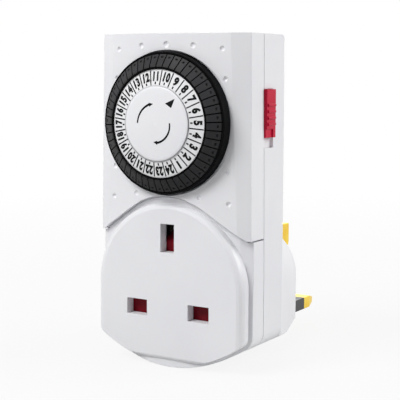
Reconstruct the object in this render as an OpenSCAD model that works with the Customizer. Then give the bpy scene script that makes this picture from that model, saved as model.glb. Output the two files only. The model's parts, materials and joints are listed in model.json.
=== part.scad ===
// Plug-in timer switch: a 24 hour segment timer between a wall socket and a plug.
// Frame: +Z up, front towards -Y. The origin is on the plug face, midway between
// the line and neutral pins.

/* [Housing] */
// Depth from the socket face to the plug face
body_depth = 57; // [54:0.5:64]
// Height of the case top above the line and neutral pins
top_z = 92; // [90:1:100]
// Depth of the case bottom below the line and neutral pins
bottom_drop = 9.8; // [9.5:0.1:12]
// Case width at the top
top_w = 52.5; // [52:0.5:56]
// Case width from the socket down
low_w = 54.2; // [54:0.2:60]
// Height where the sides stop tapering
taper_z = 20; // [14:1:30]
// Radius of the curved bottom edge
bottom_r = 43.4; // [40:0.2:60]
// Radius of the lower corners
corner_r = 4; // [3:0.5:6]
// Wall thickness of the case
wall = 1.8; // [1.5:0.1:2]
// Depth from the socket face to the line between front covers and rear housing
split_depth = 11.7; // [11:0.1:14]
// Depth from the socket face to the back wall of the upper case
shell_depth = 25.3; // [25:0.1:30]
// Radius of the bulge of the front, seen from above
bulge_r = 100; // [80:5:200]
// How far the middle of the timer cover stands out from the socket face
cover_proud = 0.7; // [0.3:0.05:0.9]
// How far the rim of the socket cover lies behind the timer cover
rim_drop = 1.5; // [1:0.1:2]
// Half width of the front face at the top
crease_top_x = 20.8; // [20:0.2:22]
// Half width of the front face at the seam
crease_low_x = 23.4; // [22.6:0.2:24]
// Depth of the sloped side band at the top
band_depth = 2.7; // [2:0.1:3.5]
// Radius of the rounded back edges
back_round = 2; // [1:0.5:3]

/* [Seam and socket] */
// Height of the seam arch
seam_apex_z = 42.8; // [42:0.2:43.6]
// Radius of the seam arch
seam_r = 22.5; // [20:0.5:24]
// Slope of the seam's straight runs, in degrees
seam_slope = 33; // [28:1:36]
// Height of the seam at the sides
seam_side_z = 30.5; // [29:0.5:32]
// Gap at the seam
seam_gap = 0.5; // [0.3:0.1:0.7]
// Height of the line and neutral apertures above the plug pins
socket_z = 8; // [7:0.5:9]
// Radius of the raised socket face
boss_r = 24.2; // [23:0.1:24.4]
// Height of the centre of that radius above the apertures
boss_centre = 7.1; // [6:0.1:8]
// Drop of the raised face below the apertures
boss_drop = 14.5; // [14:0.1:15]
// Thickness of the socket face
face_t = 3.3; // [3:0.1:4]
// Width of a line or neutral aperture
slot_w = 7.4; // [7:0.1:7.6]
// Height of a line or neutral aperture
slot_h = 5; // [4.6:0.1:5.2]
// Width of the earth aperture
earth_slot_w = 4.9; // [4.6:0.1:5.2]
// Height of the earth aperture
earth_slot_h = 8.8; // [8.6:0.1:9]

/* [Plug] */
// Spacing of the line and neutral pins
pin_pitch = 22.23; // [22.1:0.01:22.4]
// Height of the earth pin above them
earth_rise = 22.23; // [22.1:0.01:22.4]
// Length of the line and neutral pins
pin_len = 17.7; // [17.2:0.1:18.2]
// Length of the earth pin
earth_pin_len = 23; // [22.3:0.1:23.2]
// Width of a line or neutral pin
pin_w = 6.35; // [6.2:0.05:6.5]
// Thickness of every pin
pin_t = 4; // [3.9:0.05:4.1]
// Height of the earth pin's section
earth_pin_h = 8; // [7.9:0.05:8.1]
// Length of the insulating sleeves
sleeve_len = 9.5; // [9:0.1:10]
// Half width of the plug base where it leaves the case
plug_root_w = 23.5; // [22:0.5:24]
// Half width of the plug face
plug_face_w = 15.2; // [15:0.1:20]
// Height of the centre of the plug base's round top
plug_centre_z = 12; // [11.5:0.5:14]

/* [Dial] */
// Height of the dial axis
dial_z = 65.3; // [65:0.1:66]
// Outer radius of the dial ring
dial_r = 21.3; // [21:0.1:21.5]
// How far the ring's outer edge stands out from the socket face
rim_out = 2.7; // [2.5:0.1:3]
// How far the ring's inner edge stands out from the socket face
crest_out = 5.2; // [5:0.1:5.6]
// Outer radius of the hour scale
scale_r = 16.1; // [16:0.1:16.3]
// How much further out the scale stands at the cap than at its rim
scale_rise = 1; // [0.8:0.1:1]
// Radius of the fixed centre cap
cap_r = 11.3; // [10:0.1:12]
// How far the centre cap stands out from the socket face
cap_out = 6.5; // [6.4:0.1:7]
// Angle of the line between 11 and 10, clockwise from the top
dial_phase = 4.9; // [0:0.1:15]
// Gap between neighbouring tappet heads
tappet_gap = 0.36; // [0.3:0.02:0.5]
// Travel of a tappet
tappet_travel = 2; // [1.5:0.1:2.1]

/* [Movement] */
// Module of the gears
gear_module = 0.5; // [0.5:0.1:0.5]
// Teeth of the dial gear
dial_teeth = 60; // [54:2:60]
// Teeth of the idler's pinion
idler_small_teeth = 12; // [12:1:14]
// Teeth of the idler's wheel
idler_big_teeth = 40; // [36:1:40]
// Teeth of the motor's output pinion
output_teeth = 10; // [10:1:12]
// Radius of the motor
motor_r = 15.5; // [14:0.5:15.5]
// Running clearance of a shaft in its bore
run_gap = 0.06; // [0.04:0.01:0.1]

/* [Override slider] */
// Height of the slider's upper end
slider_top_z = 75.6; // [74:0.1:76]
// Length of the slider
slider_len = 14.4; // [12:0.2:15]
// Width of the slider
slider_w = 5.6; // [5:0.1:7]
// Travel of the slider
slider_travel = 3; // [2.5:0.1:3]

/* [Hidden] */
$fn = 64;
eps = 0.05;

// Planes across the depth
face_y = -body_depth;
split_y = face_y + split_depth;
back_y = face_y + shell_depth;
inner_back_y = back_y - wall;
part_line_w = 0.25;
part_line_depth = 0.3;

// Outline of the case
bottom_z = -bottom_drop;
arc_z = bottom_z + bottom_r;
corner_centre_z = arc_z - sqrt(pow(bottom_r - corner_r, 2) - pow(low_w / 2 - corner_r, 2));
function side_x(z) = z > taper_z
    ? low_w / 2 + (top_w - low_w) / 2 * (z - taper_z) / (top_z - taper_z)
    : low_w / 2;

// Front surface
crown_y = face_y - cover_proud;
function bulge_sag(x) = bulge_r - sqrt(bulge_r * bulge_r - x * x);
crease_top = [crease_top_x, crown_y + bulge_sag(crease_top_x), top_z];
crease_low = [crease_low_x, crown_y + bulge_sag(crease_low_x), seam_side_z];
band_edge = [top_w / 2, crease_top[1] + band_depth, top_z];
band_normal = cross(crease_low - crease_top, band_edge - crease_top);
band_unit = band_normal / norm(band_normal);

// Plug and socket
line_x = pin_pitch / 2;
earth_socket_z = socket_z + earth_rise;
boss_centre_z = socket_z + boss_centre;
boss_low_z = socket_z - boss_drop;
face_back_y = face_y + face_t;
boss_low_r = 69;
boss_corner_r = 6.5;
plug_low_z = bottom_z + 1.6;
plug_low_r = 60;
plug_corner_r = 7;
plug_wall = 2.2;

// Screws, as x, z, and the front cover's post that each one enters
screw_r = 1.3;
screw_post_r = 2.6;
timer_screws = [[-20.5, dial_z + 19.7], [21.6, dial_z - 17.8]];
socket_screws = [[-21.8, 27], [21.8, 27]];
screw_spots = concat(timer_screws, socket_screws);

// Dial stack, all measured along the depth
rim_y = face_y - rim_out;
crest_y = face_y - crest_out;
scale_t = 0.5;
scale_y = crest_y + 0.35;
cap_front_y = face_y - cap_out;
ring_back_y = face_y + 0.9;
floor_t = 1.1;
floor_y = ring_back_y - floor_t;
well_gap = 0.5;
well_y = ring_back_y + 0.35;
well_t = 1.5;
rim_wall = 0.6;
inner_wall = 0.45;
bay_in_r = scale_r + inner_wall;
bay_out_r = dial_r - rim_wall;
head_in_r = bay_in_r + 0.2;
head_out_r = bay_out_r - 0.2;
head_back_y = floor_y - tappet_travel - 0.2;
stem_r = bay_out_r - 1.8;
stem_len = 1.4;
stem_w = 1.2;
stem_gap = 0.2;
stem_back_y = ring_back_y - 0.2;
open_r = dial_r - 1.1;
segments = 48;
segment_deg = 360 / segments;
axle_r = 1.5;

// Movement
plate_y = face_y + 6.8;
plate_t = 1.4;
plate_x0 = -23;
plate_x1 = 17.8;
plate_back_y = plate_y + plate_t;
dial_gear_y = ring_back_y + 2.1;
gear_t = 1.5;
idler_big_y = dial_gear_y + gear_t + 0.5;
idler_deg = 240;
output_deg = 10;
function pitch_r(teeth) = gear_module * teeth / 2;
idler_dist = pitch_r(dial_teeth) + pitch_r(idler_small_teeth) + 0.1;
output_dist = pitch_r(idler_big_teeth) + pitch_r(output_teeth) + 0.1;
idler_x = idler_dist * cos(idler_deg);
idler_z = dial_z + idler_dist * sin(idler_deg);
output_x = idler_x + output_dist * cos(output_deg);
output_z = idler_z + output_dist * sin(output_deg);
idler_post_r = 1.2;
output_shaft_r = 0.9;
motor_z = dial_z - 3.3;
motor_back_y = plate_back_y + 11.6;
motor_wall = 0.8;
rotor_r = 5.4;
rotor_shaft_r = 0.75;
bobbin_t = 4.9;
bobbin_r = motor_r - 1.5;
winding_r = motor_r - 2.9;
bobbin_y = motor_back_y - motor_wall - bobbin_t;

// Switch
pivot_y = plate_y - 2;
pivot_z = dial_z + 22.1;
pivot_r = 0.8;
nose_deg = dial_phase + 2.5 * 15;
nose_x = stem_r * sin(nose_deg);
nose_z = dial_z + stem_r * cos(nose_deg);
lever_y = pivot_y - 0.7;
lever_t = 0.9;
lever_arm_x = 18.3;
lever_arm_t = 1;
ear_y = pivot_y + 3.7;
ear_z = pivot_z - 7.4;
ear_r = 0.7;
switch_x0 = 1.5;
switch_x1 = 17.5;
switch_y0 = plate_back_y;
switch_y1 = switch_y0 + 8.8;
switch_z0 = pivot_z - 8;
switch_z1 = pivot_z + 1.4;
plunger_x = nose_x;
plunger_z = pivot_z - 4;
plunger_r = 1;
blade_y = switch_y0 + 3.6;
blade_x = 3.4;
blade_pin_r = 0.4;
blade_gap = 1.3;

// Override slider
slider_z0 = slider_top_z - slider_len;
slider_y0 = split_y + 0.1;
slider_y1 = slider_y0 + slider_w;
slider_face_x = 27.5;
slider_floor_x = 25.7;
slider_arm_x0 = 22.3;
slider_arm_x1 = 23.7;
leg_y0 = slider_y0 + 1.7;
leg_w = 1.8;
leg_z0 = slider_z0 + 5;
leg_z1 = slider_z0 + 9;

// Routes of the motor's two leads: to the neutral pin's strap and to the live strap,
// their depth measured from the inside of the back wall
lead_routes = [
    [[-11.8, -7.7, 57], [-18.4, -7.7, 57], [-19.6, -7.3, 55.6], [-19.6, -4.5, 40],
     [-18.6, -2.5, 34], [-13, -1.1, 16], [-11.4, -1, 8], [-11.2, -1, 4.6],
     [-11.2, -1.3, 4], [-11.2, -1.9, 4]],
    [[-11.1, -6.4, 55.5], [-16, -6.4, 55.5], [-17.4, -5.9, 53.8], [-17, -3.1, 44],
     [-15, -1.3, 41], [0, -1, 40.4], [12, -1, 40.4], [15.6, -1, 40.4]]];

// ---- Helpers ----

// A flat outline in X and Z, swept along the depth from y0 to y1
module slab(y0, y1) {
    translate([0, y1, 0]) rotate([90, 0, 0]) linear_extrude(y1 - y0) children();
}

// A round bar along the depth
module depth_bar(x, z, r, y0, y1) {
    translate([x, y1, z]) rotate([90, 0, 0]) cylinder(r = r, h = y1 - y0);
}

// A round bar across the width
module cross_bar(y, z, r, x0, x1) {
    translate([x0, y, z]) rotate([0, 90, 0]) cylinder(r = r, h = x1 - x0);
}

// A box between two corners
module span(a, b) {
    translate(a) cube(b - a);
}

// Points of an arc about a centre, from one angle off the downward line to another
function low_arc(x, z, r, a0, a1, steps) =
    [for (k = [0:steps]) let (a = a0 + (a1 - a0) * k / steps) [x + r * sin(a), z - r * cos(a)]];

// The right half of the case outline, drawn in by inset, from the bottom to the top
function case_side(inset) = let (
    corner_x = low_w / 2 - corner_r,
    join = atan2(corner_x, arc_z - corner_centre_z))
    concat(low_arc(0, arc_z, bottom_r - inset, 0, join, 12),
           [for (p = low_arc(corner_x, corner_centre_z, corner_r - inset, join, 90, 8))
               if (p[0] > (bottom_r - inset) * sin(join) + 0.01) p],
           [[low_w / 2 - inset, taper_z], [top_w / 2 - inset, top_z - inset]]);

// The case outline: tapered sides, round bottom, rounded low corners
module case_outline(inset) {
    right = case_side(inset);
    n = len(right);
    polygon(concat(right, [for (i = [n - 1:-1:1]) [-right[i][0], right[i][1]]]));
}

// Everything behind the bulged front and inside the two sloped side bands
module front_bound(setback, inset) {
    intersection() {
        translate([0, crown_y + setback + bulge_r, bottom_z - 5])
            cylinder(r = bulge_r - inset, h = top_z - bottom_z + 10, $fn = 360);
        for_both_bands(setback, inset);
    }
}

// The half spaces behind the left and right bands
module for_both_bands(setback, inset) {
    reach = 300;
    lean = atan2(band_unit[2], norm([band_unit[0], band_unit[1]]));
    turn = atan2(band_unit[1], band_unit[0]);
    intersection() {
        band_block(setback, inset, turn, lean, reach);
        mirror([1, 0, 0]) band_block(setback, inset, turn, lean, reach);
    }
}

module band_block(setback, inset, turn, lean, reach) {
    translate(crease_top + [0, setback, 0]) rotate([0, 0, turn]) rotate([0, -lean, 0])
        translate([-reach - inset, -reach / 2, -reach / 2]) cube(reach);
}

// The part of the front that belongs to the socket cover, grown by gap
module socket_region(gap) {
    r = seam_r + gap;
    centre_z = seam_apex_z - seam_r;
    side_z = seam_side_z + gap;
    foot_x = r * sin(seam_slope) + (centre_z + r * cos(seam_slope) - side_z) / tan(seam_slope);
    reach = 40;
    polygon(concat(
        [[-foot_x, side_z], [-reach, side_z], [-reach, -reach], [reach, -reach],
         [reach, side_z], [foot_x, side_z]],
        [for (k = [12:-1:-12]) let (a = seam_slope * k / 12)
            [r * sin(a), centre_z + r * cos(a)]]));
}

// A D-shaped boss along the depth. Its edge is a list of [depth, half width]:
// turned about the centre above, extruded below down to a curved lower side.
module d_body(edge, centre_z, low_z, corner, low_r) {
    half = max([for (e = edge) e[1]]);
    y0 = edge[0][0];
    y1 = edge[len(edge) - 1][0];
    intersection() {
        translate([0, 0, centre_z]) rotate([90, 0, 0]) rotate_extrude($fn = 120)
            polygon([[0, -y0], for (e = edge) [e[1], -e[0]], [0, -y1]]);
        span([-half - 1, y0 - 1, centre_z], [half + 1, y1 + 1, centre_z + half + 1]);
    }
    intersection() {
        slab(y0, y1) low_outline(half, centre_z, low_z, corner, low_r);
        translate([0, 0, low_z - 1]) linear_extrude(centre_z - low_z + 1)
            polygon([for (e = edge) [e[1], e[0]],
                     for (i = [len(edge) - 1:-1:0]) [-edge[i][1], edge[i][0]]]);
        translate([half, 0, 0]) rotate([0, -90, 0]) linear_extrude(2 * half)
            polygon([[centre_z, y0], [centre_z, y1],
                     for (i = [len(edge) - 1:-1:0])
                         [low_z + (half - edge[i][1]) * 0.7, edge[i][0]]]);
    }
}

// The lower part of a D outline: straight flanks, round corners, curved lower side
module low_outline(half, centre_z, low_z, corner, low_r) {
    lift = pow(half - corner, 2) / (2 * low_r);
    corner_z = low_z + lift + corner;
    intersection() {
        union() {
            translate([-half, corner_z]) square([2 * half, centre_z - corner_z]);
            translate([corner - half, low_z - 1])
                square([2 * (half - corner), centre_z - low_z + 1]);
            for (side = [-1, 1]) translate([side * (half - corner), corner_z]) circle(corner);
        }
        translate([0, low_z + low_r]) circle(low_r, $fn = 240);
    }
}

// Teeth as trapezoids on a disc
module gear(teeth, y0, y1, phase) {
    root_r = pitch_r(teeth) - 1.15 * gear_module;
    tip_r = pitch_r(teeth) + 0.9 * gear_module;
    root_half = 0.27 * 360 / teeth;
    tip_half = 0.11 * 360 / teeth;
    slab(y0, y1) {
        circle(root_r);
        for (i = [0:teeth - 1]) rotate(phase + i * 360 / teeth) polygon([
            [root_r - 0.3, -root_r * sin(root_half)], [tip_r, -tip_r * sin(tip_half)],
            [tip_r, tip_r * sin(tip_half)], [root_r - 0.3, root_r * sin(root_half)]]);
    }
}

// ---- Case ----

// A rectangle from a0 to a1 whose two far corners at y1 are rounded in small steps
module round_back(a0, a1, y0, y1, r) {
    steps = 6;
    polygon(concat(
        [[a0, y0], [a1, y0]],
        [for (k = [0:steps]) let (a = 90 * k / steps)
            [a1 - r + r * cos(a), y1 - r + r * sin(a)]],
        [for (k = [steps:-1:0]) let (a = 90 * k / steps)
            [a0 + r - r * cos(a), y1 - r + r * sin(a)]]));
}

module rear_shell_outer() intersection() {
    slab(split_y, back_y + 5) case_outline(0);
    translate([0, 0, bottom_z - 1]) linear_extrude(top_z - bottom_z + 2)
        round_back(-low_w / 2 - eps, low_w / 2 + eps, split_y - 5, back_y, back_round);
    translate([low_w / 2 + 1, 0, 0]) rotate([0, -90, 0]) linear_extrude(low_w + 2)
        round_back(bottom_z - eps, top_z + eps, split_y - 5, back_y, back_round);
}

// Half width of the plug base along its depth: a straight taper, then round to the face
plug_steps = 5;
plug_round_y = 2.5;
plug_round_w = 1.2;
function plug_edge(inset) = let (last = -inset) concat(
    [[inner_back_y - 1, plug_root_w - inset], [back_y, plug_root_w - inset]],
    [for (k = [0:plug_steps]) let (a = 78 * k / plug_steps)
        [last - plug_round_y * (1 - sin(a) / sin(78)),
         plug_face_w - inset + plug_round_w * (cos(a) - cos(78)) / (1 - cos(78))]]);

module plug_base(inset) d_body(plug_edge(inset), plug_centre_z, plug_low_z + inset,
                               plug_corner_r - inset / 2, plug_low_r);

module rear_housing() color("whitesmoke") difference() {
    union() {
        difference() {
            union() {
                rear_shell_outer();
                intersection() {
                    plug_base(0);
                    span([-40, back_y - 1, -40], [40, 0, 60]);
                }
            }
            slab(split_y - 1, inner_back_y) case_outline(wall);
            plug_base(plug_wall);
        }
        for (spot = screw_spots)
            depth_bar(spot[0], spot[1], screw_post_r, split_y, back_y - 1);
        // Guide block for the slider inside the right wall
        span([slider_floor_x - 1.5, split_y, slider_z0 - slider_travel - 1],
             [side_x(slider_top_z) - 0.5, slider_y1 + 1, slider_top_z + 1]);
    }
    for (spot = screw_spots) {
        depth_bar(spot[0], spot[1], screw_r + 0.15, split_y - 1, back_y + 1);
        depth_bar(spot[0], spot[1], 2.4, back_y - 6, back_y + 1);
    }
    // Fine groove that sets the housing off from the front covers
    difference() {
        slab(split_y - 1, split_y + part_line_w) case_outline(-1);
        slab(split_y - 2, split_y + part_line_w + 1) case_outline(part_line_depth);
    }
    // Recess for the slider and slit for its leg
    span([slider_floor_x, split_y - 1, slider_z0 - slider_travel - 0.1],
         [slider_face_x + 2, slider_y1 + 0.1, slider_top_z + 0.1]);
    span([slider_floor_x - 3, leg_y0 - 0.2, leg_z0 - slider_travel - 0.2],
         [slider_floor_x + 1, leg_y0 + leg_w + 0.2, leg_z1 + 0.2]);
    // Seats of the three pins
    span([-pin_t / 2, -10, earth_rise - earth_pin_h / 2],
         [pin_t / 2, 5, earth_rise + earth_pin_h / 2]);
    for (side = [-1, 1])
        span([side * line_x - pin_w / 2, -10, -pin_t / 2],
             [side * line_x + pin_w / 2, 5, pin_t / 2]);
}

module front_shell(setback) {
    difference() {
        intersection() {
            slab(face_y - 4, split_y) case_outline(0);
            front_bound(setback, 0);
        }
        intersection() {
            slab(face_y - 4, split_y + 1) case_outline(wall);
            front_bound(setback, wall);
        }
    }
}

// Shallow round marks on the front: x, height and radius
dimples = [[0, top_z - 3.3, 1], [9.2, top_z - 3.6, 0.85], [18.4, top_z - 4.6, 0.8],
           [19.4, dial_z + 13.3, 0.75], [20.3, dial_z - 13.9, 0.8],
           [20.7, dial_z - 23.4, 0.8], [11.3, dial_z - 21.8, 0.8]];
dimple_depth = 0.5;

// A bowl of radius r at the surface
module dimple(x, z, r) {
    ball_r = (r * r + dimple_depth * dimple_depth) / (2 * dimple_depth);
    translate([x, crown_y + bulge_sag(x) + dimple_depth - ball_r, z]) sphere(ball_r);
}

module timer_cover() color("whitesmoke") difference() {
    union() {
        difference() {
            union() {
                front_shell(0);
                // Ring that carries the floor of the dial's well
                intersection() {
                    depth_bar(0, dial_z, dial_r + well_gap + 1.6, well_y, well_y + well_t);
                    slab(face_y, split_y) case_outline(wall / 2);
                    front_bound(0.3, 0);
                }
            }
            slab(face_y - 5, split_y + 1) socket_region(seam_gap);
        }
        for (spot = timer_screws) intersection() {
            depth_bar(spot[0], spot[1], screw_post_r, crown_y, split_y);
            front_bound(0, wall / 2);
        }
    }
    depth_bar(0, dial_z, dial_r + well_gap, face_y - 5, well_y);
    depth_bar(0, dial_z, open_r, face_y - 5, split_y + 1);
    // Room for the idler's pinion
    depth_bar(idler_x, idler_z, pitch_r(idler_small_teeth) + 1.3, well_y - 1, split_y + 1);
    for (d = dimples) {
        dimple(d[0], d[1], d[2]);
        if (d[0] > 0) dimple(-d[0], d[1], d[2]);
    }
    for (spot = timer_screws)
        depth_bar(spot[0], spot[1], screw_r - 0.15, face_y + 4, split_y + 1);
}

// The raised socket face's rounded edge, as depth behind the face and growth
boss_edge = [[0, 0], [0.3, 0.9], [0.9, 1.5], [1.9, 1.9], [4, 2.1]];

module socket_boss() d_body([for (e = boss_edge) [face_y + e[0], boss_r + e[1]]],
                            boss_centre_z, boss_low_z - 1.5, boss_corner_r, boss_low_r);

module socket_cover() color("white") difference() {
    union() {
        difference() {
            union() {
                intersection() {
                    slab(face_y - 4, split_y) case_outline(0);
                    front_bound(rim_drop, 0);
                    slab(face_y - 5, split_y + 1) socket_region(0);
                }
                intersection() {
                    socket_boss();
                    slab(face_y - 1, face_back_y + 1) case_outline(wall / 2);
                }
            }
            // Inside: flat behind the socket face, following the front at the sides
            intersection() {
                slab(face_back_y, split_y + 1) case_outline(wall);
                front_bound(rim_drop, wall);
            }
            // Flat pocket that the shutter slides in
            span([-pocket_half_w, face_back_y, shutter_z0 - shutter_travel - 0.6],
                 [pocket_half_w, split_y + 1, ramp_z1 + 0.6]);
        }
        for (spot = socket_screws)
            depth_bar(spot[0], spot[1], screw_post_r, face_y + 5.5, split_y);
        // Rails beside the shutter
        for (side = [-1, 1]) translate([side * (pocket_half_w - rail_t / 2), 0, 0])
            span([-rail_t / 2, face_back_y - eps, shutter_z0 - shutter_travel],
                 [rail_t / 2, shutter_y + shutter_t + 0.2, shutter_z1 + 1]);
    }
    for (side = [-1, 1])
        span([side * line_x - slot_w / 2, face_y - 2, socket_z - slot_h / 2],
             [side * line_x + slot_w / 2, face_back_y + 1, socket_z + slot_h / 2]);
    span([-earth_slot_w / 2, face_y - 2, earth_socket_z - earth_slot_h / 2],
         [earth_slot_w / 2, face_back_y + 1, earth_socket_z + earth_slot_h / 2]);
    for (spot = socket_screws)
        depth_bar(spot[0], spot[1], screw_r - 0.15, face_y + 6, split_y + 1);
}

module case_screws() color("silver") for (spot = screw_spots) difference() {
    union() {
        depth_bar(spot[0], spot[1], screw_r - 0.15, split_y - 3.5, back_y - 6);
        depth_bar(spot[0], spot[1], 2.2, back_y - 6, back_y - 4.2);
    }
    for (a = [0, 90]) translate([spot[0], back_y - 4.2, spot[1]]) rotate([0, a, 0])
        cube([2.8, 1.6, 0.5], center = true);
}

// ---- Plug pins ----

tip_taper = 1.1;

// A blunt pin along +Y with its tip tapered on all four sides
module flat_pin(x, z, w, h, y0, y1, taper_len) {
    translate([x, 0, z]) intersection() {
        translate([0, 0, -h / 2]) linear_extrude(h) polygon([
            [-w / 2, y0], [w / 2, y0], [w / 2, y1 - taper_len], [w / 2 - tip_taper * 0.8, y1],
            [tip_taper * 0.8 - w / 2, y1], [-w / 2, y1 - taper_len]]);
        translate([-w / 2, 0, 0]) rotate([90, 0, 90]) linear_extrude(w) polygon([
            [y0, -h / 2], [y1 - taper_len, -h / 2], [y1, tip_taper - h / 2],
            [y1, h / 2 - tip_taper], [y1 - taper_len, h / 2], [y0, h / 2]]);
    }
}

module earth_pin() color("goldenrod")
    flat_pin(0, earth_rise, pin_t, earth_pin_h, -6, earth_pin_len, 2.2);

module power_pin(side) color("goldenrod") difference() {
    flat_pin(side * line_x, 0, pin_w, pin_t, -6, pin_len, 4);
    difference() {
        span([side * line_x - pin_w, 0, -pin_t], [side * line_x + pin_w, sleeve_len, pin_t]);
        span([side * line_x - pin_w / 2 + 0.5, -1, 0.5 - pin_t / 2],
             [side * line_x + pin_w / 2 - 0.5, sleeve_len + 1, pin_t / 2 - 0.5]);
    }
}

module pin_sleeve(side) color("dimgray") difference() {
    span([side * line_x - pin_w / 2, 0, -pin_t / 2],
         [side * line_x + pin_w / 2, sleeve_len, pin_t / 2]);
    span([side * line_x - pin_w / 2 + 0.5, -1, 0.5 - pin_t / 2],
         [side * line_x + pin_w / 2 - 0.5, sleeve_len + 1, pin_t / 2 - 0.5]);
}

module line_pin() power_pin(1);
module neutral_pin() power_pin(-1);
module pin_sleeves() {
    pin_sleeve(1);
    pin_sleeve(-1);
}

// ---- Shutter and contacts ----

shutter_y = face_back_y + 0.3;
shutter_t = 1.6;
shutter_half_w = 15.8;
rail_t = 1.2;
pocket_half_w = shutter_half_w + 0.3 + rail_t;
shutter_travel = 6.5;
shutter_z0 = socket_z - slot_h / 2 - 0.7;
shutter_z1 = socket_z + slot_h / 2 + 0.9;
ramp_z0 = earth_socket_z - 1.2;
ramp_z1 = earth_socket_z + 2.4;
ramp_depth = 5.4;

module shutter() color("firebrick") {
    span([-shutter_half_w, shutter_y, shutter_z0],
         [shutter_half_w, shutter_y + shutter_t, shutter_z1]);
    // Upright with the ramp that the earth pin drives down
    translate([-2.9, 0, 0]) rotate([90, 0, 90]) linear_extrude(5.8) polygon([
        [shutter_y, shutter_z0], [shutter_y, ramp_z0], [shutter_y + ramp_depth, ramp_z1],
        [shutter_y + ramp_depth + 1, ramp_z1], [shutter_y + ramp_depth + 1, ramp_z1 - 2.5],
        [shutter_y + shutter_t + 1, ramp_z0 - 4], [shutter_y + shutter_t, shutter_z0]]);
}

spring_r = 1.7;
spring_wire = 0.35;
spring_turns = 6;
spring_steps = 10;
spring_z0 = bottom_z + wall + 0.5;
spring_z1 = shutter_z0 - 0.5;
spring_y = shutter_y + spring_r + 0.4;

module shutter_spring() color("silver") tube([for (i = [0:spring_turns * spring_steps])
    let (a = 360 * i / spring_steps)
    [spring_r * cos(a), spring_y + spring_r * sin(a),
     spring_z0 + (spring_z1 - spring_z0) * i / (spring_turns * spring_steps)]],
    spring_wire, 6);

jaw_t = 0.8;
jaw_y0 = face_y + 7;
jaw_y1 = face_y + 20;

// Two jaws above and below where a pin goes, joined behind it
module power_contact(side) color("goldenrod") {
    for (s = [-1, 1]) {
        z = socket_z + s * (pin_t / 2 + 0.1);
        span([side * line_x - 3.4, jaw_y0, min(z, z + s * jaw_t)],
             [side * line_x + 3.4, jaw_y1, max(z, z + s * jaw_t)]);
    }
    span([side * line_x - 3.4, jaw_y1, socket_z - pin_t / 2 - 0.1 - jaw_t],
         [side * line_x + 3.4, jaw_y1 + jaw_t, socket_z + pin_t / 2 + 0.1 + jaw_t]);
}

module line_contact() power_contact(1);
module neutral_contact() power_contact(-1);

earth_jaw_y0 = face_y + 12;
earth_jaw_y1 = face_y + 23.4;
earth_jaw_half = 2.75;

module earth_contact() color("goldenrod") {
    for (s = [-1, 1]) {
        x = s * (pin_t / 2 + 0.1);
        span([min(x, x + s * jaw_t), earth_jaw_y0, earth_socket_z - earth_jaw_half],
             [max(x, x + s * jaw_t), earth_jaw_y1, earth_socket_z + earth_jaw_half]);
    }
    span([-pin_t / 2 - 0.1 - jaw_t, earth_jaw_y1, earth_socket_z - earth_jaw_half],
         [pin_t / 2 + 0.1 + jaw_t, earth_jaw_y1 + jaw_t, earth_socket_z + earth_jaw_half]);
    // Strap down to the head of the earth pin
    span([-1.6, earth_jaw_y1 + jaw_t, earth_rise - 3], [1.6, earth_jaw_y1 + 2 * jaw_t,
         earth_socket_z + 1]);
    span([-1.6, earth_jaw_y1 + 2 * jaw_t, earth_rise - 3], [1.6, -6, earth_rise - 2.2]);
    span([-1.6, -6.8, earth_rise - 3], [1.6, -6, earth_rise + 3]);
}

// Plate that holds the three contacts, between the walls of the rear housing
carrier_y = face_y + 14;
carrier_t = 1.5;

module contact_carrier() color("ivory") difference() {
    union() {
        span([wall - low_w / 2, carrier_y, 2.5], [low_w / 2 - wall, carrier_y + carrier_t, 17]);
        span([-8, carrier_y, 16], [8, carrier_y + carrier_t, 36]);
    }
    for (side = [-1, 1])
        span([side * line_x - 3.4, carrier_y - 1, socket_z - pin_t / 2 - 0.1 - jaw_t],
             [side * line_x + 3.4, carrier_y + 3, socket_z + pin_t / 2 + 0.1 + jaw_t]);
    span([-pin_t / 2 - 0.1 - jaw_t, carrier_y - 1, earth_socket_z - earth_jaw_half],
         [pin_t / 2 + 0.1 + jaw_t, carrier_y + 3, earth_socket_z + earth_jaw_half]);
}

strap_t = 0.8;

// Strap from the neutral contact back to the neutral pin
module neutral_busbar() color("goldenrod") {
    x0 = -line_x - 2;
    x1 = -line_x + 2;
    span([x0, jaw_y1 + jaw_t, -1.5], [x1, jaw_y1 + jaw_t + strap_t, socket_z + 2]);
    span([x0, jaw_y1 + jaw_t + strap_t, -1.5], [x1, -6 - strap_t, -1.5 + strap_t]);
    span([x0, -6 - strap_t, -1.5], [x1, -6, 1.5]);
}

riser_x = 17.6;
line_riser_y = inner_back_y - 0.5;
switched_riser_y = inner_back_y - 5.1;
terminal_z = switch_z0 + 2.6;
tab_y = switch_y1 + 0.9;

// Strap from the line pin up to the switch's common terminal
module line_busbar() color("goldenrod") {
    span([line_x - 2, -6 - strap_t, -1.5], [line_x + 2, -6, 1.5]);
    span([line_x + 2 - strap_t, line_riser_y - 1, -1.5], [line_x + 2, -6 - strap_t, 1.5]);
    span([line_x + 2 - strap_t, line_riser_y - 1, -1.5], [line_x + 2, line_riser_y, 22]);
    span([line_x + 2 - strap_t, line_riser_y - 1, 20], [riser_x, line_riser_y, 22]);
    span([riser_x - 2, line_riser_y - 1, 20], [riser_x, line_riser_y, terminal_z + 2]);
    span([6, line_riser_y - 1, terminal_z], [riser_x, line_riser_y, terminal_z + 2]);
    span([6, switch_y1, terminal_z], [6 + strap_t, line_riser_y - 1, terminal_z + 2]);
}

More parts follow.
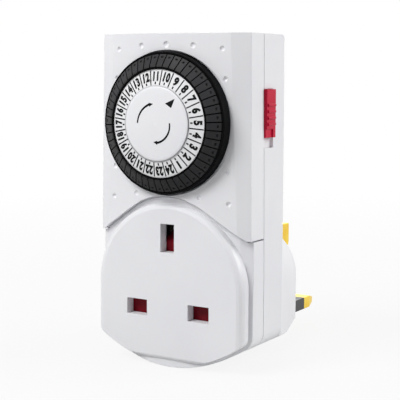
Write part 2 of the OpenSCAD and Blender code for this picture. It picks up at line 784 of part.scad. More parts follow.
// Strap from the switch's other terminal down to the line contact
module switched_busbar() color("goldenrod") {
    span([line_x - 2, jaw_y1 + jaw_t, socket_z - 2],
         [line_x + 2, jaw_y1 + jaw_t + strap_t, socket_z + 5]);
    span([line_x + 2 - strap_t, switched_riser_y, socket_z + 3],
         [line_x + 2, jaw_y1 + jaw_t, socket_z + 5]);
    span([line_x + 2 - strap_t, switched_riser_y, socket_z + 3],
         [line_x + 2, switched_riser_y + 1, socket_z + 16]);
    span([line_x + 2 - strap_t, switched_riser_y, socket_z + 14],
         [riser_x + 1, switched_riser_y + 1, socket_z + 16]);
    span([riser_x - 1, switched_riser_y, socket_z + 14],
         [riser_x + 1, switched_riser_y + 1, terminal_z]);
    span([14.5, switched_riser_y, terminal_z - 1.5],
         [riser_x + 1, switched_riser_y + 1, terminal_z]);
    span([14.5, switch_y1, terminal_z - 1.5], [14.5 + strap_t, switched_riser_y, terminal_z]);
}

// ---- Override slider ----

slider_ribs = 4;
rib_pitch = 1.9;
rib_z = slider_top_z - 4.7;

module override_slider() color("crimson") {
    difference() {
        union() {
            span([slider_floor_x + 0.15, slider_y0, slider_z0],
                 [slider_face_x, slider_y1, slider_top_z]);
            for (i = [0:slider_ribs - 1])
                translate([slider_face_x - 0.1, slider_y0 + 0.5, rib_z - i * rib_pitch])
                    rotate([-90, 0, 0]) cylinder(r = 0.55, h = slider_w - 1, $fn = 32);
        }
        // Stepped lower end
        span([slider_face_x - 0.4, slider_y0 - 1, slider_z0 - 1],
             [slider_face_x + 1, slider_y1 - 1.6, slider_z0 + 2.6]);
    }
    span([slider_arm_x0, leg_y0, leg_z0], [slider_floor_x + 0.15, leg_y0 + leg_w, leg_z1]);
    // Arm with the sloped slot that rocks the switch lever
    difference() {
        translate([slider_arm_x0, 0, 0]) rotate([90, 0, 90])
            linear_extrude(slider_arm_x1 - slider_arm_x0) polygon([
                [leg_y0, leg_z0], [leg_y0 + leg_w, leg_z0], [leg_y0 + leg_w, leg_z1 + 4],
                [slider_y0 + 0.2, pivot_z - 1.4], [pivot_y + 1.8, pivot_z - 1.4],
                [pivot_y + 1.8, pivot_z - 9.9], [pivot_y + 5.2, pivot_z - 12.4]]);
        lever_slot();
    }
}

lever_swing = 10;
ear_arm_y = ear_y - pivot_y;
ear_arm_z = pivot_z - ear_z;
ear_back = ear_arm_y * cos(lever_swing) + ear_arm_z * sin(lever_swing) - ear_arm_y;
ear_rise = ear_arm_z - ear_arm_z * cos(lever_swing) + ear_arm_y * sin(lever_swing);

module lever_slot() {
    end_y = ear_y + ear_back;
    end_z = ear_z + ear_rise + slider_travel;
    run = [end_y - ear_y, end_z - ear_z];
    tilt = atan2(run[1], run[0]);
    slot_r = ear_r + 0.25;
    cross_bar(ear_y, ear_z, slot_r, slider_arm_x0 - 1, slider_arm_x1 + 1);
    cross_bar(end_y, end_z, slot_r, slider_arm_x0 - 1, slider_arm_x1 + 1);
    translate([slider_arm_x0 - 1, ear_y, ear_z]) rotate([tilt, 0, 0])
        translate([0, 0, -slot_r]) cube([slider_arm_x1 - slider_arm_x0 + 2, norm(run), 2 * slot_r]);
}

// ---- Switch ----

module switch_lever() color("ivory") difference() {
    union() {
        cross_bar(pivot_y, pivot_z, 1.7, 9.9, 16.1);
        span([9.9, lever_y, nose_z - 0.9], [16.1, lever_y + lever_t, pivot_z]);
        span([16, lever_y, ear_z - 0.8], [lever_arm_x + lever_arm_t, lever_y + lever_t, ear_z + 2]);
        // Side arm back to the ear
        span([lever_arm_x, lever_y, ear_z - 0.8],
             [lever_arm_x + lever_arm_t, ear_y + 0.9, ear_z + 0.8]);
        cross_bar(ear_y, ear_z, ear_r, lever_arm_x, slider_arm_x1 + 0.3);
        // Nose that feels the pushed tappets, set between two of them
        translate([nose_x, 0, nose_z]) rotate([0, nose_deg, 0])
            span([-0.3, stem_back_y + 0.8, -0.7], [0.3, lever_y + 0.1, 0.7]);
    }
    cross_bar(pivot_y, pivot_z, pivot_r + run_gap, 9, 17);
}

module lever_pin() color("silver") cross_bar(pivot_y, pivot_z, pivot_r, 8.4, 17.6);

module microswitch_body() color("black") {
    difference() {
        span([switch_x0, switch_y0, switch_z0], [switch_x1, switch_y1, switch_z1]);
        span([switch_x0 + 1, switch_y0 + 1.2, switch_z0 + 1],
             [switch_x1 - 1, switch_y1 - 1, switch_z1 - 1]);
        depth_bar(plunger_x, plunger_z, plunger_r + run_gap, switch_y0 - 1, switch_y0 + 2);
    }
    translate([blade_x, blade_y + 0.3, switch_z0 + 0.5])
        cylinder(r = blade_pin_r, h = switch_z1 - switch_z0 - 1);
}

module microswitch_plunger() color("red") {
    depth_bar(plunger_x, plunger_z, plunger_r, lever_y + lever_t + 0.15, blade_y - 0.15);
}

module contact_blade() color("goldenrod") difference() {
    union() {
        translate([blade_x, blade_y + 0.3, switch_z0 + 1.4])
            cylinder(r = 0.9, h = switch_z1 - switch_z0 - 2.8);
        span([blade_x, blade_y, switch_z0 + 2], [switch_x1 - 1.6, blade_y + 0.4, switch_z1 - 2]);
        depth_bar(switch_x1 - 2.8, (switch_z0 + switch_z1) / 2, 1, blade_y + 0.3, blade_y + 0.8);
    }
    translate([blade_x, blade_y + 0.3, switch_z0]) cylinder(r = blade_pin_r + run_gap, h = 10);
}

module fixed_contact() color("goldenrod") {
    y0 = blade_y + 0.8 + blade_gap;
    span([9.5, y0 + 0.4, switch_z0 + 1.6], [switch_x1 - 1.2, y0 + 1, switch_z1 - 1.6]);
    depth_bar(switch_x1 - 2.8, (switch_z0 + switch_z1) / 2, 1, y0, y0 + 0.5);
    span([9.5, y0 + 1, switch_z0 + 1.6], [10.1, switch_y1 - 1, switch_z1 - 1.6]);
}

// ---- Movement ----

module movement_plate() color("ivory") difference() {
    union() {
        span([plate_x0, plate_y, dial_z - 19.3], [plate_x1, plate_back_y, pivot_z + 2]);
        // Ears for the lever pin
        for (x = [8.4, 16.4])
            span([x, pivot_y - 1.6, pivot_z - 1.7], [x + 1.2, plate_y, pivot_z + 1.7]);
        depth_bar(idler_x, idler_z, idler_post_r, dial_gear_y - 0.1, plate_y);
        depth_bar(0, dial_z, 3.2, dial_gear_y + gear_t + 0.3, plate_y);
    }
    cross_bar(pivot_y, pivot_z, pivot_r, 8, 18);
    depth_bar(0, dial_z, axle_r, plate_y - 8, plate_back_y + 1);
    depth_bar(output_x, output_z, output_shaft_r + run_gap, plate_y - 1, plate_back_y + 1);
    depth_bar(plunger_x, plunger_z, plunger_r + 0.3, plate_y - 1, plate_back_y + 1);
    // The plate sits on the screw posts
    for (spot = timer_screws)
        depth_bar(spot[0], spot[1], screw_post_r, plate_y - 1, plate_back_y + 1);
}

module motor_case() color("silver") difference() {
    depth_bar(0, motor_z, motor_r, plate_back_y, motor_back_y);
    depth_bar(0, motor_z, motor_r - motor_wall, plate_back_y + motor_wall,
              motor_back_y - motor_wall);
    depth_bar(0, motor_z, rotor_shaft_r + run_gap, plate_back_y - 1, motor_back_y + 1);
    depth_bar(output_x, output_z, output_shaft_r + run_gap, plate_back_y - 1, plate_back_y + 2);
    // Window for the leads
    span([-motor_r - 1, bobbin_y + 0.9, motor_z - 8], [4 - motor_r, bobbin_y + 3.9, motor_z - 3]);
}

module coil_bobbin() color("ivory") difference() {
    union() {
        depth_bar(0, motor_z, bobbin_r, bobbin_y, bobbin_y + 0.8);
        depth_bar(0, motor_z, bobbin_r, bobbin_y + bobbin_t - 0.8, bobbin_y + bobbin_t);
        depth_bar(0, motor_z, 7.4, bobbin_y, bobbin_y + bobbin_t);
    }
    depth_bar(0, motor_z, 6.4, bobbin_y - 1, bobbin_y + bobbin_t + 1);
}

module coil_winding() color("peru") difference() {
    depth_bar(0, motor_z, winding_r, bobbin_y + 0.8, bobbin_y + bobbin_t - 0.8);
    depth_bar(0, motor_z, 7.4, bobbin_y, bobbin_y + bobbin_t);
}

module motor_rotor() color("dimgray") {
    depth_bar(0, motor_z, rotor_r, plate_back_y + motor_wall + 0.7,
              motor_back_y - motor_wall - 0.5);
    depth_bar(0, motor_z, rotor_shaft_r, plate_back_y + 0.1, motor_back_y + 0.6);
}

module output_pinion() color("silver") {
    translate([output_x, 0, output_z])
        gear(output_teeth, idler_big_y - 0.1, idler_big_y + gear_t + 0.1,
             output_deg + 180 + 180 / output_teeth);
    depth_bar(output_x, output_z, output_shaft_r, idler_big_y + gear_t, plate_back_y + 1.6);
    depth_bar(output_x, output_z, 2.6, plate_back_y + motor_wall + 0.4, plate_back_y + 2.6);
}

// The idler's pinion starts a tooth space at the dial gear's tooth
module idler_gear() color("khaki") translate([idler_x, 0, idler_z]) difference() {
    union() {
        gear(idler_small_teeth, dial_gear_y, idler_big_y,
             idler_deg + 180 + 180 / idler_small_teeth);
        gear(idler_big_teeth, idler_big_y, idler_big_y + gear_t, output_deg);
    }
    depth_bar(0, 0, idler_post_r + run_gap, dial_gear_y - 1, plate_y + 1);
}

// ---- Dial ----

module dial_turn() {
    translate([0, 0, dial_z]) children();
}

// A ring about the dial axis whose section is given as radius and depth
module dial_ring_of(points) {
    rotate([90, 0, 0]) rotate_extrude($fn = 144)
        polygon([for (p = points) [p[0], -p[1]]]);
}

module dial_carrier() color("black") dial_turn() difference() {
    union() {
        difference() {
            dial_ring_of([
                [axle_r + run_gap, floor_y], [bay_out_r, floor_y],
                [bay_out_r, rim_y], [dial_r - 0.15, rim_y], [dial_r, rim_y + 0.2],
                [dial_r, ring_back_y], [axle_r + run_gap, ring_back_y]]);
            for (i = [0:segments - 1])
                rotate([0, dial_phase + (i + 0.5) * segment_deg, 0])
                    span([-stem_w / 2 - stem_gap, floor_y - 1, stem_r - stem_len / 2 - stem_gap],
                         [stem_w / 2 + stem_gap, ring_back_y + 1,
                          stem_r + stem_len / 2 + stem_gap]);
        }
        // Inner drum that holds the scale, with a lip around it
        dial_ring_of([
            [cap_r - 1.6, floor_y + eps], [cap_r - 1.6, scale_y + scale_t],
            [scale_r, scale_y + scale_t], [scale_r, crest_y], [bay_in_r - 0.1, crest_y],
            [bay_in_r, crest_y + 0.1], [bay_in_r, floor_y + eps]]);
        gear(dial_teeth, dial_gear_y, dial_gear_y + gear_t, idler_deg);
        depth_bar(0, 0, 5, ring_back_y - eps, dial_gear_y + eps);
    }
    depth_bar(0, 0, axle_r + run_gap, face_y - 8, plate_y);
}

// A shallow cone that rises towards the cap
module hour_scale() color("white") dial_turn() dial_ring_of([
    [cap_r - 0.5, scale_y + scale_t], [scale_r, scale_y + scale_t], [scale_r, scale_y],
    [cap_r, scale_y - scale_rise], [cap_r - 0.5, scale_y - scale_rise]]);

cap_t = 1.4;
cap_edge_y = scale_y - scale_rise - 0.2;
dome_h = cap_edge_y - cap_front_y;

// Fixed cap with a gently domed face
module centre_cap() color("white") dial_turn() difference() {
    union() {
        dial_ring_of(concat(
            [for (i = [0:6]) [cap_r * i / 6, cap_front_y + dome_h * pow(i / 6, 2)]],
            [[0, cap_edge_y + eps / 10]]));
        depth_bar(0, 0, 3, cap_edge_y, cap_edge_y + cap_t);
    }
    depth_bar(0, 0, axle_r, cap_edge_y, face_y);
}

module dial_axle() color("silver")
    depth_bar(0, dial_z, axle_r, cap_edge_y, plate_back_y);

// The two half-hour tappets of one hour. Hours run anticlockwise.
module hour_tappets(hour) color("dimgray") dial_turn()
    for (half = [0, 1]) {
        step = (11 - hour) * 15 + (half == 0 ? -0.25 : -0.75) * 15;
        rotate([0, dial_phase + step, 0]) tappet();
    }

// A tappet at the top of the dial: sloped head with a grip notch, and a stem
module tappet() {
    half_deg = segment_deg / 2;
    in_half = head_in_r * tan(half_deg) - tappet_gap / 2;
    out_half = head_out_r * tan(half_deg) - tappet_gap / 2;
    difference() {
        intersection() {
            slab(crest_y - 1, head_back_y) polygon([
                [-in_half, head_in_r], [in_half, head_in_r],
                [out_half, head_out_r], [-out_half, head_out_r]]);
            translate([-3, 0, 0]) rotate([90, 0, 90]) linear_extrude(6) polygon([
                [crest_y + 0.05, head_in_r], [crest_y + 0.25, head_in_r + 0.6],
                [rim_y - 0.2, head_out_r], [head_back_y, head_out_r],
                [head_back_y, head_in_r]]);
        }
        notch();
    }
    span([-stem_w / 2, head_back_y - eps, stem_r - stem_len / 2],
         [stem_w / 2, stem_back_y, stem_r + stem_len / 2]);
}

module notch() {
    span([-0.4, rim_y - 1.4, head_out_r - 1.1], [0.4, rim_y - 0.42, head_out_r - 0.6]);
}

// ---- Leads ----

lead_r = 0.55;

function unit(v) = v / norm(v);
// The direction of a route at its point i
function heading(route, i) =
    unit((i > 0 ? unit(route[i] - route[i - 1]) : [0, 0, 0])
         + (i < len(route) - 1 ? unit(route[i + 1] - route[i]) : [0, 0, 0]));
function side_axis(d) = unit(cross(d, abs(d[2]) < 0.75 ? [0, 0, 1] : [1, 0, 0]));
function ring_at(route, i, r, n) =
    let (d = heading(route, i), u = side_axis(d), v = cross(d, u))
    [for (k = [0:n - 1]) route[i] + r * (u * cos(k * 360 / n) + v * sin(k * 360 / n))];

// A tube of n sides swept along a route
module tube(route, r, n) {
    last = len(route) - 1;
    polyhedron(
        [for (i = [0:last]) for (q = ring_at(route, i, r, n)) q],
        concat(
            [[for (k = [0:n - 1]) k]],
            [for (i = [0:last - 1]) for (k = [0:n - 1])
                [i * n + k, (i + 1) * n + k, (i + 1) * n + (k + 1) % n]],
            [for (i = [0:last - 1]) for (k = [0:n - 1])
                [i * n + k, (i + 1) * n + (k + 1) % n, i * n + (k + 1) % n]],
            [[for (k = [n - 1:-1:0]) last * n + k]]));
}

module motor_leads() color("royalblue") {
    translate([0, inner_back_y, 0]) for (route = lead_routes) tube(route, lead_r, 8);
}

rear_housing();
timer_cover();
socket_cover();
case_screws();
earth_pin();
line_pin();
neutral_pin();
pin_sleeves();
contact_carrier();
shutter();
shutter_spring();
line_contact();
neutral_contact();
earth_contact();
line_busbar();
switched_busbar();
neutral_busbar();
override_slider();
switch_lever();
lever_pin();
microswitch_body();
microswitch_plunger();
contact_blade();
fixed_contact();
movement_plate();
motor_case();
coil_bobbin();
coil_winding();
motor_rotor();
output_pinion();
idler_gear();
dial_carrier();
hour_scale();
centre_cap();
dial_axle();
motor_leads();
for (h = [1:24])
    hour_tappets(h);
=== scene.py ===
import json
import math

import bpy
from mathutils import Matrix, Vector


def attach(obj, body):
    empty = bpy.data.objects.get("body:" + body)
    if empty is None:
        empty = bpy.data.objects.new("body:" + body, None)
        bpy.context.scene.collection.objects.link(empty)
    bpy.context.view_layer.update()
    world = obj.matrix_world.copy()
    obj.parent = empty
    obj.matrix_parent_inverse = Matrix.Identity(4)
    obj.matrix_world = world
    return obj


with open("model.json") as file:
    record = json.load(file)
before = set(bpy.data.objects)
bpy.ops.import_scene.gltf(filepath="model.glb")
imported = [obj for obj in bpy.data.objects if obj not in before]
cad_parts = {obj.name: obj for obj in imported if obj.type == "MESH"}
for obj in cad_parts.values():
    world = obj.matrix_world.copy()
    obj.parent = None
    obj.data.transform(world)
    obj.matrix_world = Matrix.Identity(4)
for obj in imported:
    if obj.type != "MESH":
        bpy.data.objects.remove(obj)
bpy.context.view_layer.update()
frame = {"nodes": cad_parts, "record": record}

# A millimetre in metres, because the scene is in metres and most sizes here in millimetres
MM = 0.001


# ---- Sizes shared with the CAD part, in millimetres and degrees ----

# The dial's axis, and its printed scale: a shallow cone that rises by SCALE_RISE from its
# outer edge to the cap
DIAL_Z = 65.3
SCALE_Y = -61.85
SCALE_RISE = 1.0
SCALE_R = 16.1
HOURS = 24
HOUR_DEG = 15.0
FIRST_LINE_DEG = 4.9

# The centre cap: its radius, and its front's depth at the edge and in the middle
CAP_R = 11.3
CAP_EDGE_Y = -63.05
CAP_FRONT_Y = -63.5

# The front's bulge: the depth of its middle line, and its radius
CROWN_Y = -57.7
BULGE_R = 100.0

# The crease beside the bulge as (x, z) at its top and low down, and the sloped band beyond it
CREASE_TOP = (20.8, 92.0)
CREASE_LOW = (23.4, 30.5)
BAND_EDGE_X = 26.25
BAND_DEPTH = 2.7

# The seam between the front covers: an arc, a straight slope on each side and level ends
SEAM_APEX_Z = 42.8
SEAM_R = 22.5
SEAM_SLOPE = 33.0
SEAM_SIDE_Z = 30.5
SEAM_END_X = (24.5, 25.5, 26.2)

# The object's lowest point, where the floor lies
FLOOR_Z = -9.8


# ---- Camera, lamps and stage ----

# Camera: place in millimetres, angles in degrees, lens and sensor in millimetres, clip in metres
CAM_POS = (180.18, -334.43, 80.88)
CAM_AZ = 31.283
CAM_PITCH = 6.687
CAM_ROLL = 0.294
LENS = 99.0
SENSOR_W = 36.0
CLIP_START = 0.01
CLIP_END = 20.0

# Lamps: name, azimuth and elevation in degrees, distance and size in metres, power in watts.
# Azimuth 0 is straight in front, and it grows to the right.
LAMPS = [("key", -22, 44, 0.9, 0.4, 6.6),
         ("side", 118, 28, 0.9, 0.5, 5.7),
         ("top", 0, 82, 1.0, 0.6, 1.3),
         ("back", -155, 30, 1.0, 0.6, 2.4)]
LAMP_AIM = (0, -0.03, 0.04)

# The world's colours, and the strength of its fill light
WHITE = (1, 1, 1, 1)
FILL_COLOUR = (0.95, 0.97, 1.0, 1)
FILL = 0.2

# The floor's section in metres: where it starts and ends, and its bend up into the backdrop
FLOOR_START = -3.0
FLOOR_END = 1.6
FLOOR_HALF_W = 4.0
BACKDROP_R = 0.8
BACKDROP_TOP = 3.0
BACKDROP_STEPS = 16

# Share of plain white that the camera sees in the floor, near the object and far off, and the
# distances in metres between which it changes
FLOOR_NEAR = 0.88
FLOOR_FAR = 1.0
FLOOR_REACH = (0.05, 0.45)


def camera_matrix():
    """The camera's place and turn, from its azimuth, pitch and roll."""
    azimuth = math.radians(CAM_AZ)
    pitch = math.radians(CAM_PITCH)
    roll = math.radians(CAM_ROLL)
    forward = Vector((-math.sin(azimuth) * math.cos(pitch),
                      math.cos(azimuth) * math.cos(pitch),
                      -math.sin(pitch)))
    right = Vector((math.cos(azimuth), math.sin(azimuth), 0))
    up = right.cross(forward)
    tilted_right = right * math.cos(roll) + up * math.sin(roll)
    tilted_up = up * math.cos(roll) - right * math.sin(roll)
    matrix = Matrix((tilted_right, tilted_up, -forward)).transposed().to_4x4()
    matrix.translation = Vector(CAM_POS) * MM
    return matrix


def make_camera():
    """The photograph's camera, in front of the object and to its right."""
    data = bpy.data.cameras.new("camera")
    data.sensor_width = SENSOR_W
    data.lens = LENS
    data.clip_start = CLIP_START
    data.clip_end = CLIP_END
    cam = bpy.data.objects.new("camera", data)
    bpy.context.collection.objects.link(cam)
    cam.matrix_world = camera_matrix()
    bpy.context.scene.camera = cam


def area_lamp(name, azimuth, elevation, distance, size, power):
    """A square soft lamp that looks at the object from an azimuth and elevation."""
    data = bpy.data.lights.new(name, "AREA")
    data.shape = "SQUARE"
    data.size = size
    data.energy = power
    lamp = bpy.data.objects.new(name, data)
    bpy.context.collection.objects.link(lamp)
    az, el = math.radians(azimuth), math.radians(elevation)
    way = Vector((math.sin(az) * math.cos(el), -math.cos(az) * math.cos(el), math.sin(el)))
    lamp.location = Vector(LAMP_AIM) + way * distance
    lamp.rotation_euler = way.to_track_quat("Z", "Y").to_euler()


def add_rays(tree):
    """An output that is 1 for camera, glossy and transmission rays, and 0 for the rest."""
    path = tree.nodes.new("ShaderNodeLightPath")
    total = path.outputs["Is Camera Ray"]
    for name in ("Is Glossy Ray", "Is Transmission Ray"):
        add = tree.nodes.new("ShaderNodeMath")
        add.operation = "ADD"
        add.use_clamp = True
        tree.links.new(total, add.inputs[0])
        tree.links.new(path.outputs[name], add.inputs[1])
        total = add.outputs[0]
    return total


def background(tree, colour, strength):
    """The output of a plain background shader."""
    node = tree.nodes.new("ShaderNodeBackground")
    node.inputs["Color"].default_value = colour
    node.inputs["Strength"].default_value = strength
    return node.outputs[0]


def make_world():
    """White to the camera and in mirrors, a plain pale fill light for the rest."""
    world = bpy.data.worlds.new("studio")
    bpy.context.scene.world = world
    world.use_nodes = True
    tree = world.node_tree
    tree.nodes.clear()
    out = tree.nodes.new("ShaderNodeOutputWorld")
    mix = tree.nodes.new("ShaderNodeMixShader")
    tree.links.new(add_rays(tree), mix.inputs["Fac"])
    tree.links.new(background(tree, FILL_COLOUR, FILL), mix.inputs[1])
    tree.links.new(background(tree, WHITE, 1.0), mix.inputs[2])
    tree.links.new(mix.outputs[0], out.inputs["Surface"])


def floor_profile():
    """The floor's section, from its start to the backdrop's top, as (distance, height)."""
    bend = FLOOR_END - BACKDROP_R
    profile = [(FLOOR_START, 0.0), (bend, 0.0)]
    for i in range(1, BACKDROP_STEPS + 1):
        a = math.pi / 2 * i / BACKDROP_STEPS
        rise = BACKDROP_R - BACKDROP_R * math.cos(a)
        profile.append((bend + BACKDROP_R * math.sin(a), rise))
    profile.append((FLOOR_END, BACKDROP_TOP))
    return profile


def make_floor():
    """A large pale floor that curves up into a backdrop, square to the camera."""
    verts, faces = [], []
    profile = floor_profile()
    turn = Matrix.Rotation(math.radians(CAM_AZ), 3, "Z")
    for distance, height in profile:
        for x in (-FLOOR_HALF_W, FLOOR_HALF_W):
            q = turn @ Vector((x, distance, 0))
            verts.append((q.x, q.y, height + FLOOR_Z * MM))
    for i in range(len(profile) - 1):
        faces.append((2 * i, 2 * i + 1, 2 * i + 3, 2 * i + 2))
    floor = mesh_object("floor", verts, faces, smooth=True)
    floor.data.materials.append(floor_material())


# ---- Mesh helpers ----

def mesh_object(name, verts, faces, smooth=False):
    """A new object from points in metres and faces."""
    mesh = bpy.data.meshes.new(name)
    mesh.from_pydata(verts, [], faces)
    mesh.validate()
    if smooth:
        mesh.shade_smooth()
    obj = bpy.data.objects.new(name, mesh)
    bpy.context.collection.objects.link(obj)
    return obj


def join_meshes(name, meshes):
    """One object made of several meshes, which are removed."""
    verts, faces = [], []
    for mesh in meshes:
        base = len(verts)
        verts += [tuple(v.co) for v in mesh.vertices]
        faces += [tuple(base + i for i in p.vertices) for p in mesh.polygons]
        bpy.data.meshes.remove(mesh)
    return mesh_object(name, verts, faces)


# ---- Materials ----

# Noise scales are per metre, and edge radii and bump distances are in metres
EDGE_R = 0.00022
METAL_EDGE_R = 0.00025
FINE_BUMP = 0.00004
PAPER_BUMP = 0.0005
BEVEL_SAMPLES = 8

# The mix node's sockets for colours: its two inputs and its output
MIX_A = 6
MIX_B = 7
MIX_OUT = 2


class Nodes:
    """Short calls for building one material's node tree."""

    def __init__(self, name):
        self.mat = bpy.data.materials.new(name)
        self.mat.use_nodes = True
        self.tree = self.mat.node_tree
        self.shader = self.tree.nodes["Principled BSDF"]
        self.coords = self.tree.nodes.new("ShaderNodeTexCoord").outputs["Object"]

    def add(self, kind, **inputs):
        """A new node with inputs set by name, where an underscore stands for a space."""
        node = self.tree.nodes.new(kind)
        for key, value in inputs.items():
            node.inputs[key.replace("_", " ")].default_value = value
        return node

    def link(self, a, b):
        """Links an output to an input."""
        self.tree.links.new(a, b)

    def operate(self, kind, operation, *sources):
        """A math or vector math node whose first inputs are linked to the sources."""
        node = self.add(kind)
        node.operation = operation
        for i, source in enumerate(sources):
            self.link(source, node.inputs[i])
        return node

    def noise(self, scale, detail=3.0, stretch=None):
        """Noise over the object, whose coordinates are scaled by stretch where it is given."""
        node = self.add("ShaderNodeTexNoise", Scale=scale, Detail=detail)
        source = self.coords
        if stretch:
            mapping = self.add("ShaderNodeMapping", Scale=stretch)
            self.link(source, mapping.inputs["Vector"])
            source = mapping.outputs[0]
        self.link(source, node.inputs["Vector"])
        return node.outputs[0]

    def ramp(self, source, low=0.0, high=1.0, at=(0.35, 0.65)):
        """Maps a value in the range at to a number between low and high."""
        node = self.add("ShaderNodeMapRange", From_Min=at[0], From_Max=at[1],
                        To_Min=low, To_Max=high)
        self.link(source, node.inputs["Value"])
        return node.outputs[0]

    def mix(self, factor, a, b):
        """Mixes two colours, given or linked, by a factor."""
        node = self.add("ShaderNodeMix")
        node.data_type = "RGBA"
        self.link(factor, node.inputs[0])
        for socket, value in ((node.inputs[MIX_A], a), (node.inputs[MIX_B], b)):
            if isinstance(value, tuple):
                socket.default_value = (*value, 1)
            else:
                self.link(value, socket)
        return node.outputs[MIX_OUT]

    def bump(self, height, strength, distance, under=None):
        """A normal from a height, on top of another normal where that is given."""
        node = self.add("ShaderNodeBump", Strength=strength, Distance=distance)
        self.link(height, node.inputs["Height"])
        if under is not None:
            self.link(under, node.inputs["Normal"])
        return node.outputs[0]

    def round_edges(self, radius):
        """A normal that rounds the mesh's edges."""
        node = self.add("ShaderNodeBevel", Radius=radius)
        node.samples = BEVEL_SAMPLES
        return node.outputs[0]


def plastic(name, colour, shade, rough=(0.32, 0.42), grain=0.04, edge=EDGE_R, wear=None,
            specular=0.45):
    """Moulded plastic: slow drift from colour to shade, fine moulding grain, and handling
    marks where a wear colour is given. The range of roughness is rough, grain is the
    strength of the bumps and edge the radius that edges are rounded to."""
    n = Nodes(name)
    drift = n.ramp(n.noise(scale=35.0))
    base = n.mix(drift, colour, shade)
    if wear:
        streaks = n.noise(scale=900.0, detail=4.0, stretch=(1.0, 1.0, 0.12))
        marks = n.ramp(streaks, low=0.0, high=0.55, at=(0.66, 0.8))
        base = n.mix(marks, base, wear)
    n.link(base, n.shader.inputs["Base Color"])
    patches = n.noise(scale=160.0, detail=5.0)
    n.link(n.ramp(patches, *rough), n.shader.inputs["Roughness"])
    n.shader.inputs["Specular IOR Level"].default_value = specular
    rounded = n.round_edges(edge) if edge else None
    pores = n.noise(scale=2600.0, detail=2.0)
    skin = n.bump(pores, strength=grain, distance=FINE_BUMP, under=rounded)
    n.link(skin, n.shader.inputs["Normal"])
    return n.mat


def metal(name, colour, shade, rough=(0.2, 0.34)):
    """Drawn or machined metal with fine lines along the depth."""
    n = Nodes(name)
    tarnish = n.ramp(n.noise(scale=180.0, detail=5.0))
    n.link(n.mix(tarnish, colour, shade), n.shader.inputs["Base Color"])
    n.shader.inputs["Metallic"].default_value = 1.0
    lines = n.noise(scale=1500.0, detail=3.0, stretch=(1.0, 0.03, 1.0))
    n.link(n.ramp(lines, *rough), n.shader.inputs["Roughness"])
    rounded = n.round_edges(METAL_EDGE_R)
    skin = n.bump(lines, strength=0.12, distance=FINE_BUMP, under=rounded)
    n.link(skin, n.shader.inputs["Normal"])
    return n.mat


def white_share(n):
    """How much plain white the camera sees in the floor, which grows with the distance."""
    distance = n.operate("ShaderNodeVectorMath", "LENGTH", n.coords)
    fade = n.ramp(distance.outputs["Value"], FLOOR_NEAR, FLOOR_FAR, FLOOR_REACH)
    return n.operate("ShaderNodeMath", "MULTIPLY", add_rays(n.tree), fade).outputs[0]


def floor_material():
    """Pale paper that the camera sees mostly white, with the object's shadow kept."""
    n = Nodes("floor_paper")
    mottle = n.ramp(n.noise(scale=3.0))
    paper = n.mix(mottle, (0.52, 0.52, 0.52), (0.50, 0.50, 0.50))
    n.link(paper, n.shader.inputs["Base Color"])
    n.shader.inputs["Roughness"].default_value = 0.9
    fibres = n.bump(n.noise(scale=300.0), strength=0.05, distance=PAPER_BUMP)
    n.link(fibres, n.shader.inputs["Normal"])
    glow = n.add("ShaderNodeEmission", Color=WHITE, Strength=1.0)
    mix = n.add("ShaderNodeMixShader")
    n.link(white_share(n), mix.inputs["Fac"])
    n.link(n.shader.outputs[0], mix.inputs[1])
    n.link(glow.outputs[0], mix.inputs[2])
    n.link(mix.outputs[0], n.tree.nodes["Material Output"].inputs["Surface"])
    return n.mat


def make_materials():
    """The materials by slot, and the print's."""
    return {
        "white_plastic": plastic(
            "white_plastic_skin", (0.80, 0.80, 0.82), (0.77, 0.77, 0.795)),
        "zinc_steel": metal("zinc_skin", (0.62, 0.63, 0.65), (0.5, 0.51, 0.52)),
        "brass": metal(
            "brass_skin", (0.90, 0.66, 0.08), (0.82, 0.52, 0.04), rough=(0.28, 0.4)),
        "dark_sleeve": plastic("sleeve_skin", (0.02, 0.02, 0.022), (0.03, 0.03, 0.03)),
        "ivory_plastic": plastic("ivory_skin", (0.72, 0.68, 0.57), (0.66, 0.62, 0.52)),
        "dark_red_plastic": plastic(
            "shutter_skin", (0.17, 0.004, 0.011), (0.13, 0.003, 0.009),
            rough=(0.3, 0.4), grain=0.06, specular=0.12),
        "red_plastic": plastic(
            "slider_skin", (0.56, 0.005, 0.04), (0.47, 0.004, 0.03),
            rough=(0.28, 0.4), grain=0.06, edge=0.0003, wear=(0.7, 0.14, 0.2), specular=0.15),
        "black_plastic": plastic(
            "ring_skin", (0.003, 0.003, 0.0035), (0.005, 0.005, 0.0055),
            rough=(0.35, 0.5), grain=0.02, specular=0.02),
        "scale_plastic": plastic(
            "scale_skin", (0.80, 0.80, 0.81), (0.77, 0.77, 0.78), rough=(0.4, 0.5), edge=0.0),
        "charcoal_plastic": plastic(
            "segment_skin", (0.034, 0.034, 0.036), (0.022, 0.022, 0.0235),
            rough=(0.4, 0.55), grain=0.12, edge=0.00015, wear=(0.09, 0.09, 0.09), specular=0.1),
        "enamelled_copper": metal("winding_skin", (0.6, 0.28, 0.12), (0.45, 0.18, 0.07)),
        "ferrite": plastic("ferrite_skin", (0.05, 0.05, 0.055), (0.03, 0.03, 0.03)),
        "blue_pvc": plastic("lead_skin", (0.03, 0.09, 0.4), (0.025, 0.07, 0.33)),
        "print": plastic(
            "print_skin", (0.004, 0.004, 0.005), (0.008, 0.008, 0.008),
            rough=(0.5, 0.65), edge=0.0, specular=0.1),
    }


def dress_frame(materials):
    """Gives each node of the frame its slot's material."""
    slot_of = {s["node"]: s["material_slot"] for s in frame["record"]["subparts"]}
    for name, obj in frame["nodes"].items():
        mat = materials[slot_of[name]]
        if not obj.material_slots:
            obj.data.materials.append(mat)
        for slot in obj.material_slots:
            slot.material = mat


# ---- Printed scale and cap, in millimetres and degrees ----

